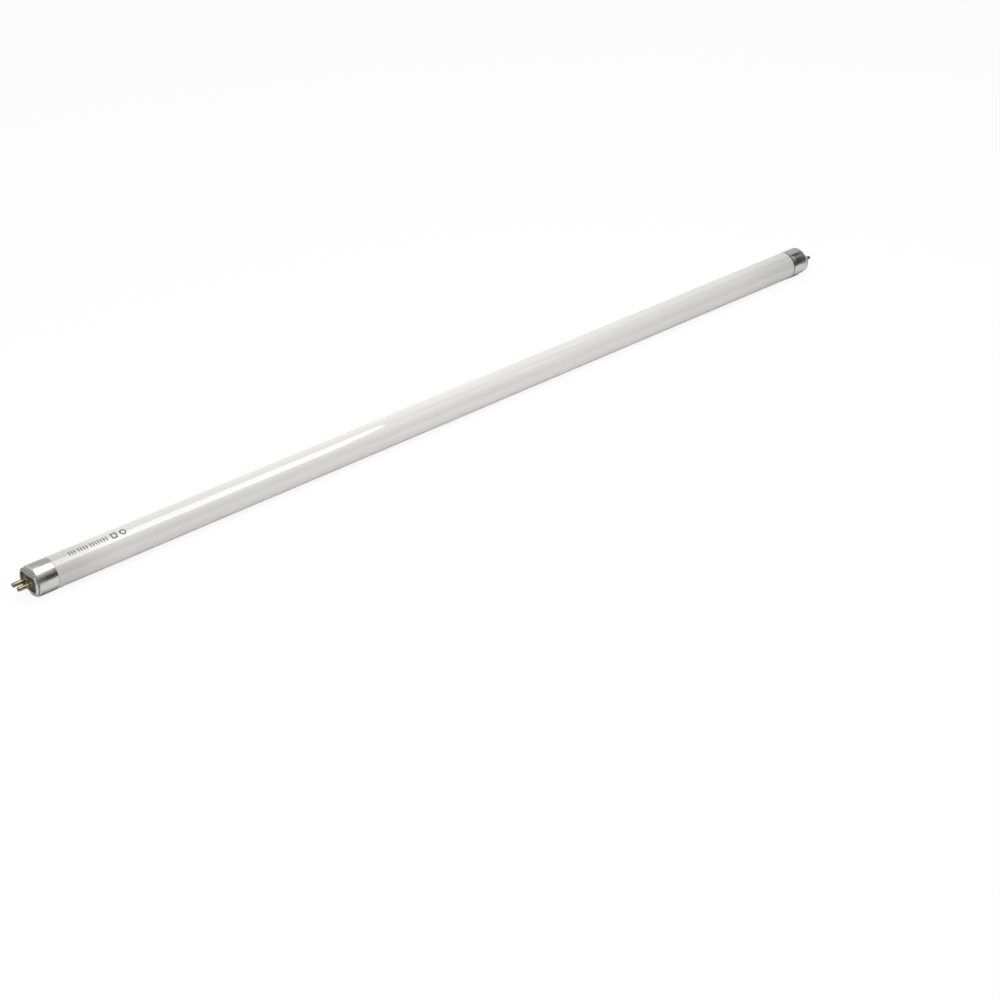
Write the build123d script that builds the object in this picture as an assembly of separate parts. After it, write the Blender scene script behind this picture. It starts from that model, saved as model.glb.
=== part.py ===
from build123d import *
import os

# A linear fluorescent tube of the 16 mm class, lying along X, the two contact pins of each end side by side.
# Millimetres. Origin at the middle of the tube's axis, +Z up.

os.makedirs("parts", exist_ok=True)

# Whole tube
face_to_face = 549.0  # front of one cap to front of the other
glass_diameter = 16.0

# Drawn aluminium cap
cap_length = 12.2  # open edge to front
cap_wall = 0.35
cap_inset = 0.05  # how far the cap lies under the surface of the glass
shoulder_bevel = 0.4  # front edge of the cap's barrel
edge_gap = 0.1  # open edge to the shoulder of the glass
band_width = 1.1  # swaged band at the open edge
band_slope = 0.25
band_inset = 0.08  # band under the barrel's surface

# Pressed nose of the cap: two round ears and, above and below, two flats with fine steps at the front
nose_length = 1.8
ear_inset = 0.12  # ear under the barrel's surface
ear_length = 0.9
ear_bevel = 0.4  # front edge of the ear
groove_depth = 0.5  # groove behind the ear
groove_slope = 0.5
nose_wall = 0.28
lip_height = 4.6  # axis to the front edge of a flat
step_count = 2
step_rise = 0.42
step_run = 0.4
step_bevel = 0.1  # edge of each step
mouth_depth = 1.0  # front of the nose to the insulator
lip_width = 0.2  # how far the lip of the mouth stands in over the insulator

# Phenolic insulator
insulator_thickness = 2.2
insulator_play = 0.05
hole_play = 0.05

# Hollow brass contact pins
pin_diameter = 2.36
pin_spacing = 4.75
pin_length = 7.1  # beyond the front of the cap
tip_length = 0.45  # blunt end of the pin
collar_diameter = 3.1
collar_thickness = 1.2
tail_diameter = 3.2  # tail spread behind the insulator
tail_length = 0.5

# Lead-in wires, crimped in the tips of the pins
wire_diameter = 0.6
wire_play = 0.02
wire_sink = 0.1  # wire under the tip of the pin

# Basing cement between the cap and the glass
cement_thickness = 0.3
cement_length = 4.5
cement_sink = 0.6  # cement inside the open edge

# Neck of the glass inside the cap, with the sealed end that the lead wires leave
neck_length = 6.5
neck_slope = 0.4  # length of the shoulder where the glass is drawn in

# Sizes that follow
glass_radius = glass_diameter / 2
cap_radius = glass_radius - cap_inset
bore_radius = cap_radius - cap_wall
neck_radius = bore_radius - cement_thickness
ear_radius = cap_radius - ear_inset
groove_radius = ear_radius - groove_depth
cavity_radius = groove_radius - nose_wall
cavity_height = lip_height - nose_wall
flight_run = step_count * step_run
flight_rise = step_count * step_rise
bore_of_pin = wire_diameter / 2 + wire_play
insulator_back = mouth_depth + insulator_thickness


def at(depth):
    """X of a plane that lies this far behind the front of the right cap."""
    return face_to_face / 2 - depth


def bevelled(face, points, size):
    """Breaks the corners of a flat face that lie at the given points."""
    chosen = [face.vertices().sort_by_distance(Vector(*point))[0] for point in points]
    return chamfer(chosen, size)


def profile(points):
    """A flat face inside the closed line through points of (x, radius)."""
    return make_face(Polyline(*points, close=True))


def turned(face):
    """A solid of revolution about the axis of the tube."""
    return revolve(face, Axis.X)


def rod(front, back, radius):
    """A plain round bar between two depths."""
    return turned(profile([(at(front), 0), (at(front), radius), (at(back), radius), (at(back), 0)]))


def slab(upper):
    """A prism across the tube, alike above and below the axis, from points of (depth, height)."""
    above = [(at(depth), height) for depth, height in upper]
    below = [(x, -height) for x, height in reversed(above)]
    face = Plane.XZ * profile(above + below)
    return extrude(face, glass_diameter, both=True)


def glass_tube():
    """The sealed bulb, drawn in to a neck at each end."""
    end = at(cap_length - neck_length)
    shoulder = at(cap_length + edge_gap)
    half = [(end, 0), (end, neck_radius), (shoulder, neck_radius), (shoulder - neck_slope, glass_radius)]
    return turned(profile(half + [(-x, radius) for x, radius in reversed(half)]))


def cap_barrel():
    """Outside of the cap behind its nose, with the swaged band at the open edge."""
    front_corner = (at(nose_length), cap_radius)
    band = cap_length - band_width
    band_radius = cap_radius - band_inset
    face = profile(
        [
            (at(nose_length), 0),
            front_corner,
            (at(band - band_slope), cap_radius),
            (at(band), band_radius),
            (at(cap_length), band_radius),
            (at(cap_length), 0),
        ]
    )
    return turned(bevelled(face, [front_corner], shoulder_bevel))


def steps():
    """Outside of the two flats: fine steps from the lip, then one long tread back to the barrel."""
    flight = []
    for step in range(step_count + 1):
        front = step * step_run
        height = lip_height + step * step_rise
        back = front + step_run if step < step_count else nose_length
        flight += [(front, height - step_bevel), (front + step_bevel, height), (back, height)]
    return slab(flight)


def under_steps(back, play=0.0):
    """Space under the flats: it rises a step behind the flight, and is level under the long tread."""
    front_height = cavity_height - step_rise - play
    head = cavity_height + flight_rise - play
    return slab([(0, front_height), (step_run + flight_run, head), (back, head)])


def end_cap():
    """The drawn cap: barrel, pressed nose, and the mouth whose lip holds the insulator."""
    ear_corner = (at(0), ear_radius)
    groove_start = ear_length + groove_slope
    ears = profile(
        [
            (at(0), 0),
            ear_corner,
            (at(ear_length), ear_radius),
            (at(groove_start), groove_radius),
            (at(nose_length), groove_radius),
            (at(nose_length), 0),
        ]
    )
    nose = turned(bevelled(ears, [ear_corner], ear_bevel)) & steps()
    floor = nose_length + cap_wall
    bore = rod(floor, cap_length, bore_radius)
    cavity = rod(mouth_depth, floor, cavity_radius) & under_steps(floor)
    mouth = rod(0, mouth_depth, cavity_radius - lip_width)
    opening_height = cavity_height - lip_width
    mouth &= slab([(0, opening_height), (mouth_depth, opening_height)])
    return cap_barrel() + nose - bore - cavity - mouth


def pin_axes():
    """Where the front and the rear pin stand across the tube."""
    return {"front": -pin_spacing / 2, "rear": pin_spacing / 2}


def insulator():
    """The plate behind the lip, wider at the back, with a hole for each pin."""
    plate = rod(mouth_depth, insulator_back, cavity_radius - insulator_play)
    plate &= under_steps(insulator_back, insulator_play)
    hole = rod(mouth_depth, insulator_back, pin_diameter / 2 + hole_play)
    for y in pin_axes().values():
        plate -= Pos(0, y) * hole
    return plate


def contact_pin():
    """A hollow pin whose collar seats on the insulator and whose tail is spread behind it."""
    pin_radius = pin_diameter / 2
    tail_back = insulator_back + tail_length
    return turned(
        profile(
            [
                (at(-pin_length), bore_of_pin),
                (at(tip_length - pin_length), pin_radius),
                (at(mouth_depth - collar_thickness), pin_radius),
                (at(mouth_depth), collar_diameter / 2),
                (at(mouth_depth), pin_radius),
                (at(insulator_back), pin_radius),
                (at(tail_back), tail_diameter / 2),
                (at(tail_back), bore_of_pin),
            ]
        )
    )


def lead_wire():
    """A wire from the sealed end of the glass through the pin to its tip."""
    return rod(wire_sink - pin_length, cap_length - neck_length, wire_diameter / 2)


def cement():
    """The ring that fills the space between the cap's bore and the drawn-in glass."""
    back = cap_length - cement_sink
    front = back - cement_length
    return rod(front, back, bore_radius) - rod(front, back, neck_radius)


# One end, as built on the right, and its half-turned twin on the left
end_pieces = {"end_cap": end_cap(), "insulator": insulator(), "cement": cement()}
for place, y in pin_axes().items():
    end_pieces[f"{place}_pin"] = Pos(0, y) * contact_pin()
    end_pieces[f"{place}_lead_wire"] = Pos(0, y) * lead_wire()

pieces = {"glass_tube": glass_tube()}
for name, piece in end_pieces.items():
    pieces[f"right_{name}"] = piece
    twin = name.replace("front", "*").replace("rear", "front").replace("*", "rear")
    pieces[f"left_{twin}"] = Rot(0, 0, 180) * piece

for name, piece in pieces.items():
    export_step(piece, f"parts/{name}.step")
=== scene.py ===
# %% [markdown]
# # A linear fluorescent tube
# The lamp is a slim glass tube with a white powder coat inside, closed at each end by a bright
# aluminium cap that carries two brass contact pins. The CAD model gives every size and place. This
# lesson models the pieces that the light falls on once more, with the soft edges that drawn metal and
# drawn glass have, and gives each surface its finish.

# %% Load the CAD frame
import math

import bmesh
import bpy
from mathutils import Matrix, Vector


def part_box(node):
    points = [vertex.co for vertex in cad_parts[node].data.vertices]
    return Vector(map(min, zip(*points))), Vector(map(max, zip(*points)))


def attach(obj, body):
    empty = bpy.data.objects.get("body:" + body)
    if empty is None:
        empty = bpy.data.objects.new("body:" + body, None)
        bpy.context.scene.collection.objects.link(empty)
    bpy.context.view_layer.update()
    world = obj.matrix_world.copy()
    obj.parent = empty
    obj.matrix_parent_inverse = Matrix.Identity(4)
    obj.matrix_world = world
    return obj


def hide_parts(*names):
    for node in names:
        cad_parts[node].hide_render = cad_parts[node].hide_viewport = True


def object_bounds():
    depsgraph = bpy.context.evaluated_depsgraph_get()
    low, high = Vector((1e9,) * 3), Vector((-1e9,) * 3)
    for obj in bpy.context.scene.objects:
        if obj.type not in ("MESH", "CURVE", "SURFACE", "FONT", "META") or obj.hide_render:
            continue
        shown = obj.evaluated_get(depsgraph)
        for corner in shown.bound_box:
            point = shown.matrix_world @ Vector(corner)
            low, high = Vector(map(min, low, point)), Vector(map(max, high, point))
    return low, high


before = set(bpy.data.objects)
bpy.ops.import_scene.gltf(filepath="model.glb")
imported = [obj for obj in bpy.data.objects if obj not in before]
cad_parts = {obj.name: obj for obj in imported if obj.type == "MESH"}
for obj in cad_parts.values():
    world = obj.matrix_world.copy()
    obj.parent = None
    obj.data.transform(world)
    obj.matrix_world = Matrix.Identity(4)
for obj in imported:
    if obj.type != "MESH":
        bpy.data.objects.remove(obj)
cad_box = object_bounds()
MM = 0.001  # lengths in the cells are written in millimetres
cad_size = [round((high - low) / MM, 2) for low, high in zip(*cad_box)]
print(len(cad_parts), "nodes in a box of", cad_size, "mm")

# %% [markdown]
# ## Glass bulb
# The bulb is a drawn glass tube. Near each end the glass is softened and rolled in to a neck, and the
# cap is cemented over the neck, so that metal and glass lie flush. A cylinder with a bevel would do for
# the middle. Turned from a line, the bulb gets the rolled rim and the neck too. The line is a list of
# corners, and each corner has an ease, the length over which its edge is rounded off.

# %% Line of the bulb
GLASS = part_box("glass_tube")[1][1] / MM  # radius
NECK_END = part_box("glass_tube")[1][0] / MM  # middle of the tube to the sealed end
NECK_LENGTH = 6.6
SHOULDER = NECK_END - NECK_LENGTH  # where the neck meets the rolled rim of the glass
NECK = GLASS - 0.7  # radius, which leaves room for the cement and the wall of the cap
NECK_ROUND = 0.4
SEALED_FLAT = NECK - 1.0  # radius of the flat on the sealed end
RIM_ROUND = 0.5
RIM_LENGTH = 1.0
POINT_SPACING = 0.2  # of the points on a rounded edge


def eased(corners):
    """A line through corners, each of which gives its sizes and then the ease over which it is rounded."""
    line = []
    for index, (*corner, ease) in enumerate(corners):
        here = Vector(corner)
        if not ease:
            line.append(here)
            continue
        ends = []
        for *neighbour, _ in (corners[index - 1], corners[(index + 1) % len(corners)]):
            away = Vector(neighbour) - here
            ends.append(here + away * (ease / max(abs(part) for part in away)))
        parts = 2 + round(ease / POINT_SPACING)
        for part in range(parts + 1):
            share = part / parts
            line.append((1 - share) ** 2 * ends[0] + 2 * share * (1 - share) * here + share ** 2 * ends[1])
    return line


half = eased(
    [
        (-NECK_END, SEALED_FLAT, 0),
        (-NECK_END, NECK, NECK_ROUND),
        (-SHOULDER, NECK, 0),
        (-SHOULDER, GLASS, RIM_ROUND),
        (-SHOULDER + RIM_LENGTH, GLASS, 0),
    ]
)
bulb_line = half + [(-x, radius) for x, radius in reversed(half)]
print("line of", len(bulb_line), "points, glass radius", round(GLASS, 3), "mm")

# %% [markdown]
# A ring is extruded along the axis from point to point of the line and scaled to each radius. The spin
# tool would do as well. Rings are used because those of the caps can be pressed flat later.

# %% Draw the bulb out of a ring
BULB_SEGMENTS = 128


def start_ring(name, x, radius, segments, fill="NOTHING"):
    """A circle about the axis of the tube, left selected in edit mode."""
    bpy.ops.object.select_all(action="DESELECT")
    bpy.ops.mesh.primitive_circle_add(
        vertices=segments,
        radius=radius * MM,
        fill_type=fill,
        location=(x * MM, 0, 0),
        rotation=(0, math.pi / 2, 0),
    )
    piece = bpy.context.object
    piece.name = piece.data.name = name
    bpy.ops.object.transform_apply()
    bpy.ops.object.mode_set(mode="EDIT")
    return piece


def draw_out(line):
    """Extrudes the selected ring through a line of places along the axis, each with its radius."""
    for (x, radius), (next_x, next_radius) in zip(line, line[1:]):
        bpy.ops.mesh.extrude_edges_move(TRANSFORM_OT_translate={"value": ((next_x - x) * MM, 0, 0)})
        share = next_radius / radius
        bpy.ops.transform.resize(value=(1, share, share), center_override=(next_x * MM, 0, 0))


bulb = start_ring("glass_bulb", *bulb_line[0], BULB_SEGMENTS, fill="NGON")
draw_out(bulb_line)
bpy.ops.mesh.edge_face_add()
print("bulb drawn out through", len(bulb_line), "rings of", BULB_SEGMENTS, "points")

# %% [markdown]
# A turned shape can hold doubled points, and its faces can look inward. So the doubles are merged
# first, and the normals are turned outward after that.

# %% Close the bulb
WELD = 0.001  # points nearer to each other than this are one


def close_up():
    """Merges doubles, turns the normals outward and leaves edit mode."""
    bpy.ops.mesh.select_all(action="SELECT")
    bpy.ops.mesh.remove_doubles(threshold=WELD * MM)
    bpy.ops.mesh.normals_make_consistent(inside=False)
    bpy.ops.object.mode_set(mode="OBJECT")
    bpy.ops.object.shade_smooth()


close_up()
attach(bulb, "root")
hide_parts("glass_tube")
print("bulb with", len(bulb.data.polygons), "faces")

# %% [markdown]
# ## End caps
# A cap is one piece of thin aluminium, drawn as a cup and then pressed. Its barrel is swaged in a
# little at the open edge. It could be cut with booleans, but those leave hard edges. So the wall is
# turned first as one closed section, outside and inside, and is pressed afterwards, as the real one is.
# Each ring of the section has three sizes: its depth behind the front, its radius at the sides, and its
# height above and below. On the barrel the last two are the same.

# %% Barrel of a cap
FACE = -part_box("left_end_cap")[0][0] / MM  # middle of the tube to the front of a cap
CAP_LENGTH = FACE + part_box("left_end_cap")[1][0] / MM
CAP = GLASS - 0.05  # radius of the barrel
CAP_ROUND = 0.14  # front edge of the barrel
WALL = 0.35
BORE = CAP - WALL
EDGE_ROUND = 0.13  # open edge
BAND = CAP - 0.08  # radius of the swaged band
BAND_WIDTH = 1.1
BAND_SLOPE = 0.25
BAND_ROUND = 0.1
NOSE = 1.8  # length of the nose in front of the barrel
barrel = [
    (CAP_LENGTH, BORE, 0),
    (CAP_LENGTH, BAND, EDGE_ROUND),
    (CAP_LENGTH - BAND_WIDTH, BAND, BAND_ROUND),
    (CAP_LENGTH - BAND_WIDTH - BAND_SLOPE, CAP, BAND_ROUND),
    (NOSE, CAP, CAP_ROUND),
    (NOSE, BORE, 0),
]
section = [(depth, radius, radius) for depth, radius in eased(barrel)[1:]]
print("barrel of", len(section), "rings on a cap", round(CAP_LENGTH, 2), "mm long")

# %% [markdown]
# The nose is pressed flat above and below, with two fine steps behind the lip and a scored line at the
# foot of each. It stays round at the two ears, which a groove sets off from the barrel. So on the nose
# the radius of a ring follows the ears, and its height follows the flats.

# %% Ears and flats of the nose
EAR = CAP - 0.12  # radius
EAR_LENGTH = 0.9
EAR_ROUND = 0.5
GROOVE_DEPTH = 0.5
GROOVE_END = EAR_LENGTH + GROOVE_DEPTH
GROOVE_RINGS = (0.1, 0.0, -0.1)  # three rings close together keep the end of the groove crisp
LIP = 4.6  # axis to the front edge of a flat
LIP_ROUND = 0.13
STEP_COUNT = 2
STEP_SET = 0.2  # how far the steps are set back
STEP_RUN = 0.4
STEP_RISE = 0.42
STEP_ROUND = 0.03
RISER = 0.1  # depth over which a step rises
SCORE_WIDTH = 0.2
SCORE_DEPTH = 0.24
SCORE_BOTTOM = (0.3, 0.6)  # shares of its width where the bottom of a scored line starts and ends
TREAD_ROUND = 0.06  # where the highest flat meets the barrel
TREAD_LEAN = 0.01  # how far the face of the barrel leans there


def ear(depth):
    """Radius of an ear at a depth: rounded front edge, straight side and the slope down to the groove."""
    from_round = EAR_ROUND - min(depth, EAR_ROUND)
    slope = min(max(depth - EAR_LENGTH, 0), GROOVE_DEPTH)
    return EAR - EAR_ROUND + math.sqrt(EAR_ROUND ** 2 - from_round ** 2) - slope


def tread(step):
    """Height of a flat on a step, counted from the lip."""
    return LIP + step * STEP_RISE


flats = [barrel[-1], (NOSE - TREAD_LEAN, tread(STEP_COUNT), TREAD_ROUND)]
flats += [(GROOVE_END + shift, tread(STEP_COUNT), 0) for shift in GROOVE_RINGS]
for step in range(STEP_COUNT, 0, -1):
    edge = STEP_SET + step * STEP_RUN
    foot = tread(step - 1)
    scored = edge - RISER
    flats += [(edge, tread(step), STEP_ROUND), (scored, foot, 0)]
    flats += [(scored - share * SCORE_WIDTH, foot - SCORE_DEPTH, 0) for share in SCORE_BOTTOM]
    flats += [(scored - SCORE_WIDTH, foot, STEP_ROUND)]
flats += [(0, LIP, LIP_ROUND), (0, 0, 0)]
section += [(depth, ear(depth), height) for depth, height in eased(flats)[1:-1]]
print("outside of", len(section), "rings, the highest flat", tread(STEP_COUNT), "mm from the axis")

# %% [markdown]
# On the inside the section goes in through the mouth, round the pocket that holds the insulator, and
# back along the bore to the open edge. The rings are then drawn out as those of the bulb were, and the
# last one meets the first.

# %% Inside of a cap, and its turned wall
CAP_SEGMENTS = 144
MOUTH = 6.85  # radius
MOUTH_HEIGHT = 4.12  # axis to the edge of the mouth at a flat
MOUTH_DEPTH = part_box("left_insulator")[0][0] / MM + FACE
MOUTH_ROUND = 0.2  # front edge of the mouth
SEAT_ROUND = 0.07  # its back edge, at the insulator
POCKET = 7.06  # radius
POCKET_HEIGHT = 5.2
POCKET_RISE = 0.25  # the roof of the pocket slopes at its front
POCKET_RUN = 0.2
POCKET_DEPTH = NOSE + 0.34
POCKET_ROUND = 0.05
STOP_ROUND = 0.06  # back edge of the pocket
BORE_ROUND = 0.12
inside = [
    (0, EAR - EAR_ROUND, LIP - LIP_ROUND, 0),
    (0, MOUTH, MOUTH_HEIGHT, MOUTH_ROUND),
    (MOUTH_DEPTH, MOUTH, MOUTH_HEIGHT, SEAT_ROUND),
    (MOUTH_DEPTH, POCKET, POCKET_HEIGHT - POCKET_RISE, POCKET_ROUND),
    (MOUTH_DEPTH + POCKET_RUN, POCKET, POCKET_HEIGHT, 0),
    (POCKET_DEPTH, POCKET, POCKET_HEIGHT, STOP_ROUND),
    (POCKET_DEPTH, BORE, BORE, BORE_ROUND),
    (CAP_LENGTH, BORE, BORE, BORE_ROUND),
    (CAP_LENGTH, BAND, BAND, 0),
]
section += [tuple(ring) for ring in eased(inside)[1:-1]]
cap_line = [(depth - FACE, radius) for depth, radius, height in section]
near_cap = start_ring("near_end_cap", *cap_line[0], CAP_SEGMENTS)
draw_out(cap_line + cap_line[:1])
bpy.ops.mesh.select_all(action="SELECT")
bpy.ops.mesh.remove_doubles(threshold=WELD * MM)
print("wall turned from", len(section), "rings, mouth", round(MOUTH_DEPTH, 3), "mm deep")

# %% [markdown]
# The press tool flattens the nose above and below. On each ring, the part that stands too high is
# scaled down to a level line, as the tool does it.

# %% Press the flats
def pick(test):
    """Selects the vertices of the piece in edit mode whose place passes a test, and counts them."""
    bpy.ops.mesh.select_all(action="DESELECT")
    mesh = bmesh.from_edit_mesh(bpy.context.object.data)
    for vertex in mesh.verts:
        vertex.select_set(test(vertex.co / MM))
    mesh.select_flush(True)
    bmesh.update_edit_mesh(bpy.context.object.data)
    return sum(vertex.select for vertex in mesh.verts)


def above(depth, radius, height, side):
    """Tests whether a place is on a ring and on this side higher than the flat."""
    def test(place):
        off_ring = max(abs(place.x + FACE - depth), abs(math.hypot(place.y, place.z) - radius))
        return off_ring < WELD and side * place.z > height

    return test


pressed = 0
for depth, radius, height in section:
    for side in (1, -1):
        if height < radius and pick(above(depth, radius, height, side)):
            level = ((depth - FACE) * MM, 0, side * height * MM)
            bpy.ops.transform.resize(value=(1, 1, 0), center_override=level)
            pressed += 1
print("flats pressed on", pressed, "half rings")

# %% [markdown]
# The press tool has round corners. So the front face is smoothed a little where a flat meets an ear,
# and the edge of the mouth is smoothed much more. Bevels would do it too, but each ring would need its
# own width.

# %% Round the corners of the mouth
FRONT_CORNER = ((4.2, 6.5), (2.9, LIP - 0.03), EAR - 0.43)  # across, height, distance from the axis
EDGE_CORNER = ((3.2, MOUTH), (1.6, MOUTH_HEIGHT + 0.1), MOUTH + 0.1)
ROUNDINGS = ((FRONT_CORNER, 6), (EDGE_CORNER, 24))  # each with the number of times it is smoothed
SMOOTHING = 0.5  # share of the way that a point moves towards its neighbours each time
SEAT_MARGIN = 0.005  # keeps the ring at the insulator as it is


def in_corner(across, height, reach):
    """Tests whether a place in front of the insulator lies in a corner of the mouth."""
    def test(place):
        in_front = place.x + FACE < MOUTH_DEPTH - SEAT_MARGIN
        in_range = across[0] < abs(place.y) < across[1] and height[0] < abs(place.z) < height[1]
        return in_front and in_range and math.hypot(place.y, place.z) < reach

    return test


for corner, repeat in ROUNDINGS:
    smoothed = pick(in_corner(*corner))
    bpy.ops.mesh.vertices_smooth(factor=SMOOTHING, repeat=repeat, xaxis=False)
    print(smoothed, "vertices smoothed", repeat, "times")
close_up()

# %% [markdown]
# Drawn metal has no sharp edge anywhere. One level of Subdivision Surface rounds each edge over its own
# ease. The second cap is a copy of the first that is turned half round, because both ends of the lamp
# are alike.

# %% Soften the cap and copy it for the far end
def apply_modifier(piece, kind, **settings):
    """Adds a modifier to a piece and applies it."""
    bpy.context.view_layer.objects.active = piece
    modifier = piece.modifiers.new(kind.lower(), kind)
    for name, value in settings.items():
        setattr(modifier, name, value)
    bpy.ops.object.modifier_apply(modifier=modifier.name)


def copied(piece, name):
    """A copy with its own mesh, left in edit mode with everything selected."""
    bpy.ops.object.select_all(action="DESELECT")
    piece.select_set(True)
    bpy.context.view_layer.objects.active = piece
    bpy.ops.object.duplicate()
    twin = bpy.context.object
    twin.name = twin.data.name = name
    bpy.ops.object.mode_set(mode="EDIT")
    bpy.ops.mesh.select_all(action="SELECT")
    return twin


def turned_twin(piece, name):
    """A copy for the other end of the tube."""
    twin = copied(piece, name)
    bpy.ops.transform.rotate(value=math.pi, orient_axis="Z", center_override=(0, 0, 0))
    bpy.ops.object.mode_set(mode="OBJECT")
    return twin


apply_modifier(near_cap, "SUBSURF", levels=1, render_levels=1)
far_cap = turned_twin(near_cap, "far_end_cap")
for cap, node in ((near_cap, "left_end_cap"), (far_cap, "right_end_cap")):
    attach(cap, "root")
    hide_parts(node)
    print(cap.name, len(cap.data.polygons), "faces")

# %% [markdown]
# ## Contact pins
# A pin is a brass tube with a collar that seats on the insulator and a tail that is spread behind it.
# The collar ends in a rolled bead. The lead-in wire comes out through the bore and is crimped off at
# the rounded tip. A cylinder that is inset and extruded would do for the shank. Turned from a line, the
# pin has its collar, bead and tail in one closed wall.

# %% Turn a pin
PIN = 1.18  # radius of the shank
PIN_SEGMENTS = 32
PIN_BORE = 0.33
PIN_LENGTH = -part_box("left_front_pin")[0][0] / MM - FACE  # beyond the front of the cap
PIN_OFFSET = 2.375  # from the axis of the tube
TIP_ROUND = 0.64
TIP_BORE_ROUND = 0.12
FINE_ROUND = 0.05  # most edges
COLLAR = 1.55  # radius where the collar seats on the insulator
COLLAR_FOOT_ROUND = 0.04
COLLAR_NECK = 1.39  # radius behind the bead
NECK_SLOPE = 0.1
BEAD = 1.46  # radius
BEAD_BACK = 0.15
BEAD_FRONT = -0.18
BEAD_SLOPE = 0.02
BEAD_ROUND = 0.08
INSULATOR_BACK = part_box("left_insulator")[1][0] / MM + FACE
TAIL = 1.56  # radius
TAIL_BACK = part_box("left_front_pin")[1][0] / MM + FACE
TAIL_ROUND = 0.06
pin_section = eased(
    [
        (TAIL_BACK, PIN_BORE, FINE_ROUND),
        (TAIL_BACK, TAIL, TAIL_ROUND),
        (INSULATOR_BACK, PIN, FINE_ROUND),
        (MOUTH_DEPTH, PIN, COLLAR_FOOT_ROUND),
        (MOUTH_DEPTH, COLLAR, FINE_ROUND),
        (BEAD_BACK + NECK_SLOPE, COLLAR_NECK, FINE_ROUND),
        (BEAD_BACK, BEAD, FINE_ROUND),
        (BEAD_FRONT, BEAD, BEAD_ROUND),
        (BEAD_FRONT - BEAD_SLOPE, PIN, FINE_ROUND),
        (-PIN_LENGTH, PIN, TIP_ROUND),
        (-PIN_LENGTH, PIN_BORE, TIP_BORE_ROUND),
    ]
)
pin_line = [(depth - FACE, radius) for depth, radius in pin_section]
pin = start_ring("near_front_pin", *pin_line[0], PIN_SEGMENTS)
draw_out(pin_line + pin_line[:1])
bpy.ops.mesh.select_all(action="SELECT")
bpy.ops.transform.translate(value=(0, -PIN_OFFSET * MM, 0))
close_up()
apply_modifier(pin, "SUBSURF", levels=1, render_levels=1)
print("pin turned from", len(pin_line), "rings, tip", round(PIN_LENGTH, 3), "mm beyond the cap")

# %% [markdown]
# The four pins are alike. The first is copied across to its neighbour, and both are turned half round
# to the far end, where front and rear change places.

# %% Place four pins
pins = {"left_front_pin": pin, "left_rear_pin": copied(pin, "near_rear_pin")}
bpy.ops.transform.translate(value=(0, 2 * PIN_OFFSET * MM, 0))
bpy.ops.object.mode_set(mode="OBJECT")
pins["right_front_pin"] = turned_twin(pins["left_rear_pin"], "far_front_pin")
pins["right_rear_pin"] = turned_twin(pins["left_front_pin"], "far_rear_pin")
for node, piece in pins.items():
    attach(piece, "root")
    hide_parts(node)
    corner = [round(v / MM, 2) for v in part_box(node)[0]]
    print(piece.name, "in place of", node, "whose box starts at", corner, "mm")

# %% [markdown]
# ## Printed mark
# A thin grey mark is stamped on the glass near one end. Here it is plain shapes: rows of short bars, a
# square and a ring, in a strip as long and as high as such a mark. It could be painted in the material
# of the glass. As a piece of its own it keeps crisp edges from close by. The shapes are laid out flat,
# as on the stamp. A bar is a grid of small faces, so that it can bend round the glass, and an Array
# makes the row.

# %% Rows of bars
BAR_WIDTH = 0.6
BAR_HEIGHT = 2.6
BAR_PITCH = 1.5
BAR_ROWS = ((0.0, 3), (5.2, 4), (11.9, 7))  # where each row starts, and its number of bars
AROUND = 8  # faces over the height of a shape


def bars(start, count):
    """A row of short upright bars."""
    bpy.ops.object.select_all(action="DESELECT")
    bpy.ops.mesh.primitive_grid_add(x_subdivisions=1, y_subdivisions=AROUND, size=1, location=(0, 0, 0))
    row = bpy.context.object
    bpy.ops.object.mode_set(mode="EDIT")
    bpy.ops.transform.resize(value=(BAR_WIDTH * MM, BAR_HEIGHT * MM, 1), center_override=(0, 0, 0))
    bpy.ops.transform.translate(value=((start + BAR_WIDTH / 2) * MM, 0, 0))
    bpy.ops.object.mode_set(mode="OBJECT")
    spacing = {"use_relative_offset": False, "use_constant_offset": True}
    apply_modifier(row, "ARRAY", count=count, constant_offset_displace=(BAR_PITCH * MM, 0, 0), **spacing)
    return row


rows = [bars(*row) for row in BAR_ROWS]
print(len(rows), "rows of bars", BAR_HEIGHT, "mm high")

# %% [markdown]
# The square and the ring start as circles of few and of many corners. Each circle is extruded in place,
# and the new edge is scaled in by the width of the printed line. Inset would need a filled face first.

# %% Square, ring and the whole stamp
SHAPE_HEIGHT = 3.6
SHAPES = ((23.8, 3.3, 0.8, 4), (28.7, 3.6, 0.75, 32))  # start, width, width of the line, corners


def outline(start, width, line, corners):
    """The outline of a plain shape, a square with 4 corners or a ring with many."""
    bpy.ops.object.select_all(action="DESELECT")
    turn = math.pi / 4 if corners == 4 else 0.0
    radius = 0.5 / math.cos(turn) * MM
    bpy.ops.mesh.primitive_circle_add(vertices=corners, radius=radius, rotation=(0, 0, turn))
    shape = bpy.context.object
    bpy.ops.object.transform_apply()
    bpy.ops.object.mode_set(mode="EDIT")
    if corners == 4:
        bpy.ops.mesh.subdivide(number_cuts=AROUND - 1)
    bpy.ops.transform.resize(value=(width, SHAPE_HEIGHT, 1), center_override=(0, 0, 0))
    bpy.ops.mesh.extrude_edges_move()
    inner = (1 - 2 * line / width, 1 - 2 * line / SHAPE_HEIGHT, 1)
    bpy.ops.transform.resize(value=inner, center_override=(0, 0, 0))
    bpy.ops.mesh.select_all(action="SELECT")
    bpy.ops.transform.translate(value=((start + width / 2) * MM, 0, 0))
    bpy.ops.object.mode_set(mode="OBJECT")
    return shape


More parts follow.
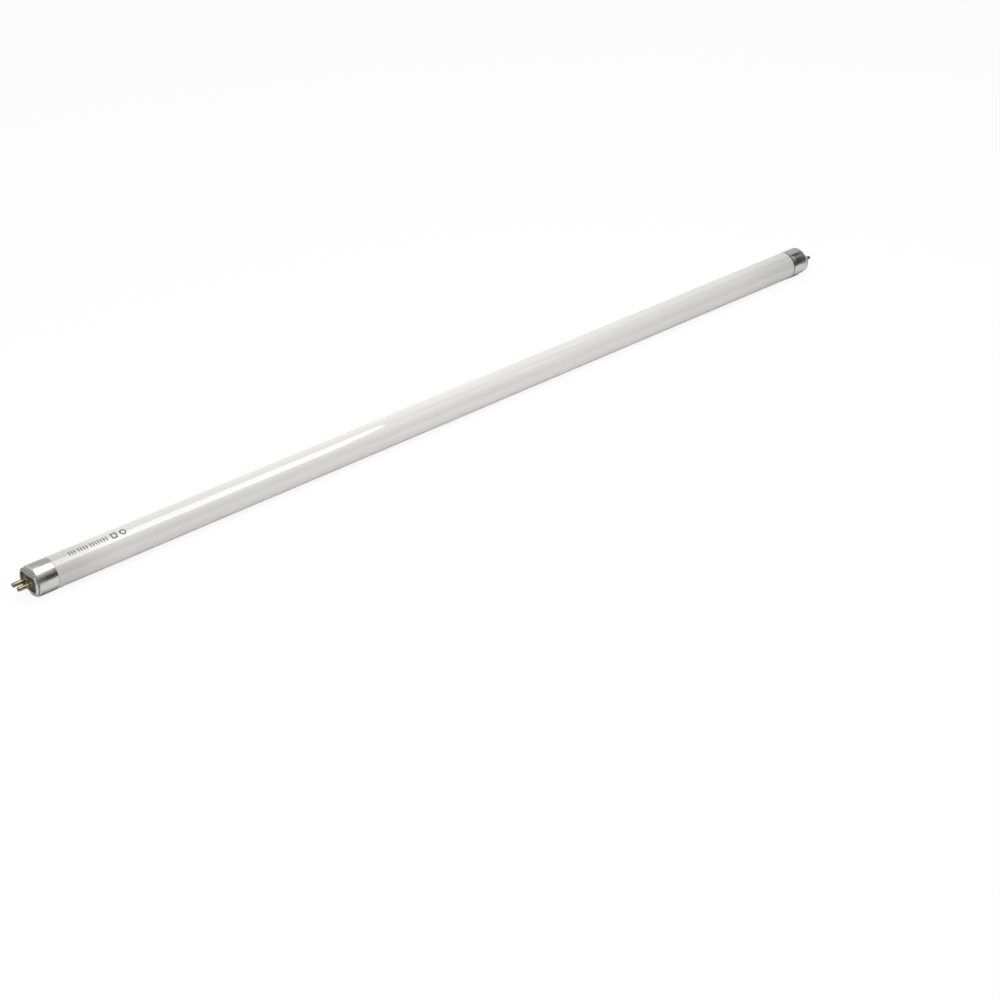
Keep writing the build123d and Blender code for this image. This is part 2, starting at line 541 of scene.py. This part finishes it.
stamp = rows + [outline(*shape) for shape in SHAPES]
bpy.ops.object.select_all(action="DESELECT")
for shape in stamp:
    shape.select_set(True)
bpy.context.view_layer.objects.active = stamp[0]
bpy.ops.object.join()
mark = bpy.context.object
mark.name = mark.data.name = "printed_mark"
print("stamp", [round(v / MM, 2) for v in mark.dimensions], "mm")

# %% [markdown]
# The stamp rolls over the glass. Its flat sheet is turned to touch the glass, and a Shrinkwrap lays it
# round, which keeps the shapes at their size. A Solidify gives the film of ink its thickness.

# %% Roll the stamp on the glass
MARK_START = 21.8  # behind the front of the near cap
MARK_LEAN = math.radians(17.5)  # from the top of the tube towards the front
INK_HEIGHT = 0.012  # over the glass
INK_FILM = 0.01
bpy.ops.object.mode_set(mode="EDIT")
bpy.ops.mesh.select_all(action="SELECT")
bpy.ops.transform.rotate(value=-MARK_LEAN, orient_axis="X", center_override=(0, 0, 0))
touch = Vector((MARK_START - FACE, -GLASS * math.sin(MARK_LEAN), GLASS * math.cos(MARK_LEAN)))
bpy.ops.transform.translate(value=touch * MM)
bpy.ops.object.mode_set(mode="OBJECT")
wrap = {"target": bulb, "wrap_method": "NEAREST_SURFACEPOINT"}
apply_modifier(mark, "SHRINKWRAP", offset=INK_HEIGHT * MM, **wrap)
apply_modifier(mark, "SOLIDIFY", thickness=INK_FILM * MM, offset=-1.0)
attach(mark, "root")
heights = [math.hypot(vertex.co.y, vertex.co.z) / MM for vertex in mark.data.vertices]
print("ink from radius", round(min(heights), 4), "to", round(max(heights), 4), "mm")

# %% [markdown]
# ## Colour and nodes
# Colours are picked as sRGB hex values, as a colour chart gives them, and Blender's shaders work on
# linear light. One function turns the one into the other. A second adds a node with its settings and
# links, so that each material below reads as a list of what feeds what.

# %% Colours and nodes
def linear(hex_colour):
    """An sRGB hex colour in linear light."""
    channels = [int(hex_colour[start:start + 2], 16) / 255 for start in (1, 3, 5)]
    return tuple(c / 12.92 if c <= 0.04045 else ((c + 0.055) / 1.055) ** 2.4 for c in channels) + (1.0,)


def add_node(tree, kind, settings=None, **inputs):
    """Adds a node. Inputs go by name, or by number as _0 and _1, and are values, sockets or nodes."""
    node = tree.nodes.new(kind)
    for name, value in (settings or {}).items():
        setattr(node, name, value)
    for name, value in inputs.items():
        numbered = name[1:].isdigit()
        socket = node.inputs[int(name[1:]) if numbered else name.replace("_", " ")]
        if isinstance(value, bpy.types.Node):
            value = value.outputs[0]
        if isinstance(value, bpy.types.NodeSocket):
            tree.links.new(value, socket)
        else:
            socket.default_value = value
    return node


MIDDLE_GREY = "#808080"
print("the middle grey of hex colours is", round(linear(MIDDLE_GREY)[0], 3), "in linear light")

# %% [markdown]
# ## Printing ink
# The ink of the mark gives the eye a flat dark grey that is thin in places, where the white shows
# through. One colour all over would look like a sticker. As every material here, it has one main
# shader. What is the same all over a surface is set on the shader's own sockets, and only what changes
# comes through nodes.

# %% Start the ink
def new_tree(owner):
    """The empty node tree of a material or of the world."""
    owner.use_nodes = True
    owner.node_tree.nodes.clear()
    return owner.node_tree


def new_material(name, **constants):
    """A material with one main shader, whose constants are set on its own sockets."""
    material = bpy.data.materials.new(name)
    tree = new_tree(material)
    shader = add_node(tree, "ShaderNodeBsdfPrincipled", **constants)
    add_node(tree, "ShaderNodeOutputMaterial", Surface=shader)
    return material, tree, shader


def dress(pieces, material):
    """Gives pieces their one material."""
    for piece in pieces:
        piece.data.materials.clear()
        piece.data.materials.append(material)
    print(material.name, "on", [piece.name for piece in pieces])


ink, tree, shader = new_material("printing_ink", Roughness=0.6)
dress([mark], ink)

# %% [markdown]
# Most surfaces of the lamp are of two shades in patches: thin ink, streaks of powder, tarnish, fibres.
# The patches have a real size along and across the tube, and a noise that is stretched to that size
# shares the two shades out. A painted picture could do it, but it would need a map of each piece.

# %% Patches of thin ink
INK_PATCH = 0.9
PATCH_EDGES = {"From_Min": 0.3, "From_Max": 0.7}  # nearly all of a noise lies between these


def grain(tree, along, across, detail):
    """A pattern of patches with these sizes along and across the tube, in millimetres."""
    place = add_node(tree, "ShaderNodeTexCoord").outputs["Object"]
    scale = (1 / (along * MM), 1 / (across * MM), 1 / (across * MM))
    stretched = add_node(tree, "ShaderNodeMapping", Vector=place, Scale=scale)
    return add_node(tree, "ShaderNodeTexNoise", Vector=stretched, Scale=1.0, Detail=detail).outputs["Fac"]


def two_shades(tree, pattern, first, second):
    """One colour between the patches of a pattern and another on them."""
    share = add_node(tree, "ShaderNodeMapRange", Value=pattern, **PATCH_EDGES)
    return add_node(tree, "ShaderNodeMixRGB", Fac=share, Color1=linear(first), Color2=linear(second))


film = two_shades(tree, grain(tree, INK_PATCH, INK_PATCH, detail=3.0), "#434345", "#747475")
tree.links.new(film.outputs[0], shader.inputs["Base Color"])
print("ink in patches of", INK_PATCH, "mm")

# %% [markdown]
# ## Phosphor-coated glass
# The powder coat behind the clear glass gives the eye a soft, even white. Both faces of the smooth
# glass add a narrow reflection of the light above. Clear glass over a white inner tube would do it and
# take long to render. So the base is matt, and a clear coat as strong as both faces together lies over
# it. The powder was poured down the tube and blown dry, which leaves faint streaks along it. Towards
# the ends the powder thins, and a painted shade darkens it too, more at the far end. Beside each cap
# the margin is greyer, from thinner powder and from a painted shade of the cap, and at the far cap a
# narrow dark band is painted at the rim of the glass.

# %% Glass
STREAK_LENGTH = 60
STREAK_WIDTH = 3
POWDER_AND_PAINTED_SHADE = (  # where along the tube a shade starts, where it is full, and its colour
    # near end: thinner powder and painted shade
    (-30, -235, "#D9D7D4"),
    # margin beside the near cap: thinner powder and painted shade from the cap
    (36 - SHOULDER, 4 - SHOULDER, "#C6C5C2"),
    # far end: thinner powder and painted shade, deeper than at the near end
    (30, 235, "#D3D2D0"),
    # margin beside the far cap: thinner powder and painted shade from the cap
    (SHOULDER - 52, SHOULDER - 4, "#C6C6C4"),
    # narrow dark band painted at the rim of the glass by the far cap
    (SHOULDER - 1.4, SHOULDER - 0.8, "#4A4844"),
)
SMOOTH = {"interpolation_type": "SMOOTHSTEP"}  # for a Map Range that starts and ends gently
glass, tree, shader = new_material(
    "phosphor_coated_glass",
    Roughness=0.55,
    Diffuse_Roughness=1.0,
    Coat_Weight=1.0,
    Coat_Roughness=0.025,
    Coat_IOR=1.8,
)
place = add_node(tree, "ShaderNodeTexCoord").outputs["Object"]
along = add_node(tree, "ShaderNodeSeparateXYZ", Vector=place).outputs["X"]
coat = two_shades(tree, grain(tree, STREAK_LENGTH, STREAK_WIDTH, detail=3.0), "#E0DEDC", "#DAD8D6")
for start, full, colour in POWDER_AND_PAINTED_SHADE:
    ends = {"From_Min": start * MM, "From_Max": full * MM}
    share = add_node(tree, "ShaderNodeMapRange", SMOOTH, Value=along, **ends)
    coat = add_node(tree, "ShaderNodeMixRGB", Fac=share, Color1=coat, Color2=linear(colour))
tree.links.new(coat.outputs[0], shader.inputs["Base Color"])
dress([bulb], glass)

# %% [markdown]
# ## Drawn aluminium
# The caps are bright metal. In the corners of the steps, in the scored lines and in the groove, a
# painted shade gives the eye fine dark lines, where the metal hems itself in. Those places could be
# painted one by one. Ambient Occlusion over a few tenths of a millimetre finds them all.

# %% Colour of the aluminium
WIPE_LENGTH = 9
WIPE_WIDTH = 0.6
SATIN_START = NOSE + 0.1  # behind the front
SATIN_FULL = NOSE - 0.2
# reach and edges of the painted shade in the corners, the scored lines and the groove
CORNER_SHADE_REACH = 0.35
CORNER_SHADE_EDGES = {"From_Min": 0.4, "From_Max": 0.95, "To_Min": 0.95, "To_Max": 0.0}  # less where it is open
aluminium, tree, shader = new_material("drawn_aluminium", Metallic=1.0)
place = add_node(tree, "ShaderNodeTexCoord").outputs["Object"]
along = add_node(tree, "ShaderNodeSeparateXYZ", Vector=place).outputs["X"]
reach = add_node(tree, "ShaderNodeMath", {"operation": "ABSOLUTE"}, _0=along)
bright = two_shades(tree, grain(tree, WIPE_LENGTH, WIPE_WIDTH, detail=2.0), "#D0D0CE", "#C0C0BE")
ends = {"From_Min": (FACE - SATIN_START) * MM, "From_Max": (FACE - SATIN_FULL) * MM}
on_nose = add_node(tree, "ShaderNodeMapRange", SMOOTH, Value=reach, **ends)
unshaded_metal = add_node(tree, "ShaderNodeMixRGB", Fac=on_nose, Color1=bright, Color2=linear("#C8C8C6"))
nearby = {"only_local": True, "samples": 8}
# painted shade: the colour turns to a dark grey where Ambient Occlusion finds the metal hemmed in
shelter = add_node(tree, "ShaderNodeAmbientOcclusion", nearby, Distance=CORNER_SHADE_REACH * MM).outputs["AO"]
painted_corner_shade = add_node(tree, "ShaderNodeMapRange", SMOOTH, Value=shelter, **CORNER_SHADE_EDGES)
metal = add_node(tree, "ShaderNodeMixRGB", Fac=painted_corner_shade, Color1=unshaded_metal, Color2=linear("#34322F"))
tree.links.new(metal.outputs[0], shader.inputs["Base Color"])
dress([near_cap, far_cap], aluminium)

# %% [markdown]
# The drawing die leaves fine lines along the barrel, which the eye sees as a slight streakiness in the
# reflections. They are a noise in the roughness and a very shallow bump. The real lines are a few
# hundredths of a millimetre wide and are drawn coarser here, so that they show from close by. The front
# of the barrel is rubbed by fingers and holders, and the pressed nose has a satin face.

# %% Gloss of the aluminium
LINE_LENGTH = 7
LINE_WIDTH = 0.16
LINE_DEPTH = 0.01
NOSE_SATIN = 0.16
RUBBED = 0.12
RUBBED_START = 7.5  # behind the front
RUBBED_FULL = 3.5
MULTIPLY_ADD = {"operation": "MULTIPLY_ADD"}
lines = grain(tree, LINE_LENGTH, LINE_WIDTH, detail=3.0)
gloss = add_node(tree, "ShaderNodeMapRange", Value=lines, To_Min=0.14, To_Max=0.24, **PATCH_EDGES)
ends = {"From_Min": (FACE - RUBBED_START) * MM, "From_Max": (FACE - RUBBED_FULL) * MM, "To_Max": RUBBED}
rubbed = add_node(tree, "ShaderNodeMapRange", SMOOTH, Value=reach, **ends)
satin = add_node(tree, "ShaderNodeMath", MULTIPLY_ADD, _0=on_nose, _1=NOSE_SATIN, _2=rubbed)
roughness = add_node(tree, "ShaderNodeMath", {"operation": "ADD"}, _0=gloss, _1=satin)
tree.links.new(roughness.outputs[0], shader.inputs["Roughness"])
bump = add_node(tree, "ShaderNodeBump", Strength=0.15, Distance=LINE_DEPTH * MM, Height=lines)
tree.links.new(bump.outputs[0], shader.inputs["Normal"])
print("lines", LINE_WIDTH, "mm wide, nose rougher by", NOSE_SATIN)

# %% [markdown]
# ## Drawn brass
# The pins are plain drawn brass, a pale gold that has dulled with age. Patches of tarnish a millimetre
# or so across are darker, browner and less shiny than the metal around them. The crimped tips are
# greyer, and the pins of the far end are grey along most of their length. The collars get a paler
# colour as painted light, so that they look lit where they sit in the shade of the mouth. Four
# materials could show that. One that changes along the tube does it for all four pins.

# %% Brass
TARNISH_LENGTH = 1.6
TARNISH_WIDTH = 0.7
brass, tree, shader = new_material("drawn_brass", Metallic=1.0)
place = add_node(tree, "ShaderNodeTexCoord").outputs["Object"]
along = add_node(tree, "ShaderNodeSeparateXYZ", Vector=place).outputs["X"]
reach = add_node(tree, "ShaderNodeMath", {"operation": "ABSOLUTE"}, _0=along)
tarnish = grain(tree, TARNISH_LENGTH, TARNISH_WIDTH, detail=4.0)
gold = two_shades(tree, tarnish, "#B0A27E", "#696048")
wear_and_painted_light = (  # beyond the front of a cap: where it starts, where it is full, how full it is, and its colour
    # crimped tips, greyer
    (reach, 5.7, 6.9, 0.7, "#77766C"),
    # pins of the far end, grey
    (along, 0.8, 4.6, 0.95, "#A3A2A0"),
    # painted light: the collars paler, so that they look lit in the shade of the mouth
    (reach, 0.3, 0.1, 0.7, "#D3BCA0"),
)
for distance, start, full, strength, colour in wear_and_painted_light:
    ends = {"From_Min": (FACE + start) * MM, "From_Max": (FACE + full) * MM, "To_Max": strength}
    share = add_node(tree, "ShaderNodeMapRange", SMOOTH, Value=distance, **ends)
    gold = add_node(tree, "ShaderNodeMixRGB", Fac=share, Color1=gold, Color2=linear(colour))
tree.links.new(gold.outputs[0], shader.inputs["Base Color"])
gloss = add_node(tree, "ShaderNodeMapRange", Value=tarnish, To_Min=0.18, To_Max=0.34, **PATCH_EDGES)
tree.links.new(gloss.outputs[0], shader.inputs["Roughness"])
dress(list(pins.values()), brass)

# %% [markdown]
# ## Phenolic board, cement and lead-in wire
# The insulator is hard paper board, nearly black, with brown fibres. The cement behind it is a matt
# buff ring that fills the joint between cap and glass. The crimped ends of the lead-in wires are dull
# nickel. These three could be modelled again too, but little of them shows. They keep their CAD form,
# and a patchy colour is added.

# %% Board, cement and wire
PLAIN = (  # ending of the node names, material, metallic, roughness, grain, two shades
    ("insulator", "phenolic_board", 0.0, 0.45, (0.5, 0.35, 4.0), ("#2A2927", "#423C38")),
    ("cement", "basing_cement", 0.0, 0.9, (0.8, 0.8, 2.0), ("#B9AD94", "#8F846F")),
    ("lead_wire", "dull_nickel_wire", 1.0, 0.45, (0.4, 0.2, 2.0), ("#8F8C82", "#6F6B60")),
)
for ending, name, metallic, rough, patch, shades in PLAIN:
    material, tree, shader = new_material(name, Metallic=metallic, Roughness=rough)
    colour = two_shades(tree, grain(tree, *patch), *shades)
    tree.links.new(colour.outputs[0], shader.inputs["Base Color"])
    dress([node for key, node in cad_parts.items() if key.endswith(ending)], material)

# %% [markdown]
# ## Floor
# The tube lies on a plain white sheet that runs out of the picture on all sides. A sheet that curves up
# behind would do as well, but the camera looks down and never sees its end. The polished metal mirrors
# the sheet bright near the tube and darker towards the front, where a studio floor falls into shade.

# %% White sheet
FLOOR_SIDE = 12.0  # metres
SHADE_START = -20  # across the tube
SHADE_FULL = -120
SHADE = 0.8
bpy.ops.mesh.primitive_plane_add(size=FLOOR_SIDE, location=(0, 0, -GLASS * MM))
floor = bpy.context.object
floor.name = "floor"
paper = bpy.data.materials.new("white_sheet")
tree = new_tree(paper)
path = add_node(tree, "ShaderNodeLightPath").outputs
spot = add_node(tree, "ShaderNodeTexCoord").outputs["Object"]
place = add_node(tree, "ShaderNodeSeparateXYZ", Vector=spot).outputs
ends = {"From_Min": SHADE_START * MM, "From_Max": SHADE_FULL * MM, "To_Max": SHADE}
shade = add_node(tree, "ShaderNodeMapRange", SMOOTH, Value=place["Y"], **ends)
in_metal = add_node(tree, "ShaderNodeMath", {"operation": "MULTIPLY"}, _0=path["Is Glossy Ray"], _1=shade)
tones = {"Color1": linear("#EDEDED"), "Color2": linear("#000000")}
tone = add_node(tree, "ShaderNodeMixRGB", Fac=in_metal, **tones)
lit = add_node(tree, "ShaderNodeBsdfDiffuse", Color=tone)
floor.data.materials.append(paper)
print("floor at", round(floor.location.z / MM, 2), "mm")

# %% [markdown]
# The camera sees the sheet lifted most of the way to white, as a bright sheet photographs. More light
# would do that too, and would bleach the glass. Close under the tube the sheet is lifted little, so
# that the narrow shadow where the glass rests stays. The shadow is darkest and a little wider under the
# caps, and it ends with them.

# %% Shadow under the tube
OPEN_LIFT = 0.9
GLASS_LIFT = 0.3
CAP_LIFT = 0.05
DARKER_FROM = 180  # middle of the tube to where the shadow starts to darken
STRIP = 2.2  # half the width of the shadow
STRIP_EDGE = 3.3  # half its width with the soft edge
STRIP_GROWTH = 0.5  # how much wider it is under the caps
WIDER_FROM = SHOULDER - 6
WIDEST_FROM = SHOULDER + 3
CLEAR_FROM = FACE - 5  # where the shadow starts to end
CLEAR_BEYOND = FACE - 1.4
reach = add_node(tree, "ShaderNodeMath", {"operation": "ABSOLUTE"}, _0=place["X"])
ends = {"From_Min": DARKER_FROM * MM, "From_Max": SHOULDER * MM, "To_Min": GLASS_LIFT, "To_Max": CAP_LIFT}
under = add_node(tree, "ShaderNodeMapRange", SMOOTH, Value=reach, **ends)
ends = {"From_Min": WIDER_FROM * MM, "From_Max": WIDEST_FROM * MM, "To_Max": STRIP_GROWTH * MM}
wider = add_node(tree, "ShaderNodeMapRange", SMOOTH, Value=reach, **ends)
across = add_node(tree, "ShaderNodeMath", {"operation": "ABSOLUTE"}, _0=place["Y"])
aside = add_node(tree, "ShaderNodeMath", {"operation": "SUBTRACT"}, _0=across, _1=wider)
ends = {"From_Min": STRIP * MM, "From_Max": STRIP_EDGE * MM, "To_Min": under, "To_Max": OPEN_LIFT}
beside = add_node(tree, "ShaderNodeMapRange", SMOOTH, Value=aside, **ends)
ends = {"From_Min": CLEAR_FROM * MM, "From_Max": CLEAR_BEYOND * MM, "To_Max": OPEN_LIFT}
beyond = add_node(tree, "ShaderNodeMapRange", SMOOTH, Value=reach, **ends)
clear = add_node(tree, "ShaderNodeMath", {"operation": "MAXIMUM"}, _0=beside, _1=beyond)
lift = add_node(tree, "ShaderNodeMath", {"operation": "MULTIPLY"}, _0=path["Is Camera Ray"], _1=clear)
glow = add_node(tree, "ShaderNodeEmission", Color=linear("#FFFFFF"), Strength=1.0)
sheet = add_node(tree, "ShaderNodeMixShader", Fac=lift, _1=lit, _2=glow)
add_node(tree, "ShaderNodeOutputMaterial", Surface=sheet)
print("sheet lifted by", OPEN_LIFT, "beside the tube and", GLASS_LIFT, "to", CAP_LIFT, "under it")

# %% [markdown]
# ## Light
# One large softbox hangs level over the tube and gives the broad highlight along its top. A sun lamp
# would give a hard shadow and a thin line on the glass instead.

# %% Softbox
BOX_LEFT = -0.7  # metres, as the other sizes of the box
BOX_RIGHT = 0.47
BOX_FRONT = -0.44
BOX_BACK = 0.165
BOX_HEIGHT = 0.8
BOX_LEVEL = 3.0  # brightness of its cloth
cloth = bpy.data.lights.new("softbox", "AREA")
cloth.shape = "RECTANGLE"
cloth.size = BOX_RIGHT - BOX_LEFT
cloth.size_y = BOX_BACK - BOX_FRONT
cloth.energy = BOX_LEVEL * math.pi * cloth.size * cloth.size_y
softbox = bpy.data.objects.new("softbox", cloth)
bpy.context.collection.objects.link(softbox)
softbox.location = ((BOX_LEFT + BOX_RIGHT) / 2, (BOX_FRONT + BOX_BACK) / 2, BOX_HEIGHT)
softbox.visible_camera = False
print("softbox", round(cloth.energy, 2), "W at", [round(v, 3) for v in softbox.location])

# %% [markdown]
# Around it the studio is dim: a pale wall behind the tube, a wall in front whose dark foot rises to the
# right, and a dark ceiling between. The walls matter little for the white glass. The bright metal shows
# them, light and dark, and so reads as metal. They could be large planes. They are made in the world, by
# direction, because that needs no extra objects. The limits are parts of a direction, which is 1 long.

# %% Back wall and front wall
CEILING = 0.06
BACK_WALL = 0.64
BACK_EDGE = {"From_Min": 0.05, "From_Max": 0.2}
FRONT_WALL = 0.72
FRONT_FOOT = 0.08
FRONT_EDGE = {"From_Min": -0.1, "From_Max": -0.28}
FOOT_EDGE = {"From_Min": 0.1, "From_Max": 0.52}
FOOT_TURN = 0.38  # part to the right from which the foot rises
FOOT_SLOPE = 0.5
studio = bpy.data.worlds.new("studio")
bpy.context.scene.world = studio
tree = new_tree(studio)
look = add_node(tree, "ShaderNodeTexCoord").outputs["Generated"]
towards = add_node(tree, "ShaderNodeSeparateXYZ", Vector=look).outputs
levels = {"To_Min": CEILING, "To_Max": BACK_WALL}
back = add_node(tree, "ShaderNodeMapRange", SMOOTH, Value=towards["Y"], **BACK_EDGE, **levels)
right = add_node(tree, "ShaderNodeMath", {"operation": "MAXIMUM"}, _0=towards["X"], _1=FOOT_TURN)
rise = add_node(tree, "ShaderNodeMath", MULTIPLY_ADD, _0=right, _1=-FOOT_SLOPE, _2=towards["Z"])
levels = {"To_Min": FRONT_FOOT - CEILING, "To_Max": FRONT_WALL - CEILING}
front = add_node(tree, "ShaderNodeMapRange", SMOOTH, Value=rise, **FOOT_EDGE, **levels)
front_share = add_node(tree, "ShaderNodeMapRange", SMOOTH, Value=towards["Y"], **FRONT_EDGE)
walls = add_node(tree, "ShaderNodeMath", MULTIPLY_ADD, _0=front, _1=front_share, _2=back)
print("back wall", BACK_WALL, "front wall", FRONT_WALL, "ceiling", CEILING)

# %% [markdown]
# A pale wall also stands to the left, where the near cap and its pins look, and fades out towards the
# back. Where the camera itself looks past the floor, it sees white. A white plane behind would do that
# too, but the metal would mirror it. So only the camera's own rays get the white.

# %% Left wall and the white that the camera sees
LEFT_WALL = 0.85
LEFT_EDGE = {"From_Min": -0.35, "From_Max": -0.62}
LEFT_END = {"From_Min": 0.15, "From_Max": -0.15}
left = add_node(tree, "ShaderNodeMapRange", SMOOTH, Value=towards["X"], To_Max=LEFT_WALL, **LEFT_EDGE)
left_share = add_node(tree, "ShaderNodeMapRange", SMOOTH, Value=towards["Y"], **LEFT_END)
level = add_node(tree, "ShaderNodeMath", MULTIPLY_ADD, _0=left, _1=left_share, _2=walls)
seen = add_node(tree, "ShaderNodeLightPath").outputs["Is Camera Ray"]
strength = add_node(tree, "ShaderNodeMath", {"operation": "MAXIMUM"}, _0=level, _1=seen)
air = add_node(tree, "ShaderNodeBackground", Color=linear("#FFFFFF"), Strength=strength)
add_node(tree, "ShaderNodeOutputWorld", Surface=air)
print("left wall", LEFT_WALL)

# %% [markdown]
# ## Camera
# The tube is seen from the front left and from above, with the near cap large at the left edge of the
# picture and the far cap small at the right. A camera could be placed by eye. This one was fitted, in
# its place, its direction and its focal length, to both edges of the glass, the two cap joints and the
# tips of the pins, so no shift is needed.

# %% Camera
CAMERA_PLACE = (-0.701, -0.796, 0.5555)  # metres
CAMERA_LOOK = (0.5824, 0.6378, -0.5039)
FOCAL_LENGTH = 79.4
SENSOR_WIDTH = 36.0
camera_data = bpy.data.cameras.new("camera")
camera_data.lens = FOCAL_LENGTH
camera_data.sensor_width = SENSOR_WIDTH
camera_data.sensor_fit = "HORIZONTAL"
camera = bpy.data.objects.new("camera", camera_data)
bpy.context.collection.objects.link(camera)
camera.location = CAMERA_PLACE
camera.rotation_euler = Vector(CAMERA_LOOK).to_track_quat("-Z", "Y").to_euler()
bpy.context.scene.camera = camera
bpy.context.scene.view_settings.view_transform = "Standard"
print("camera", round(camera.location.length, 3), "m from the middle of the tube")
